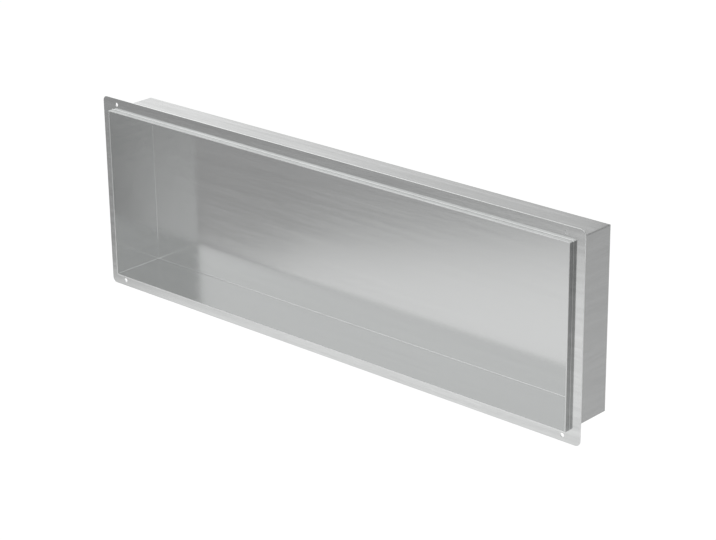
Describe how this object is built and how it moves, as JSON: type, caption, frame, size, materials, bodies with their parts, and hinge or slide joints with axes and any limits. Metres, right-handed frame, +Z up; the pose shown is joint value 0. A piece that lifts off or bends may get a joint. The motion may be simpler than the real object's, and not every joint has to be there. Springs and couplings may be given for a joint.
{
  "type": "shower niche insert",
  "caption": "Long shallow stainless steel shower niche insert: an open-fronted folded pan with a proud tile lip, welded into a flat frame that screws to the wall.",
  "frame": {"origin": "middle of the flange's back face, the plane that lies on the wall, midway between the screw holes", "axes": "+X along the niche, to the right as seen from the front; +Y into the wall, so the open front faces -Y; +Z up"},
  "size_m": [0.914, 0.089, 0.305],
  "materials": {
    "brushed_stainless": "fine brushed satin, with the grain along the niche"
  },
  "bodies": {
    "root": {"niche_pan": "brushed_stainless", "mounting_flange": "brushed_stainless"}
  },
  "joints": []
}
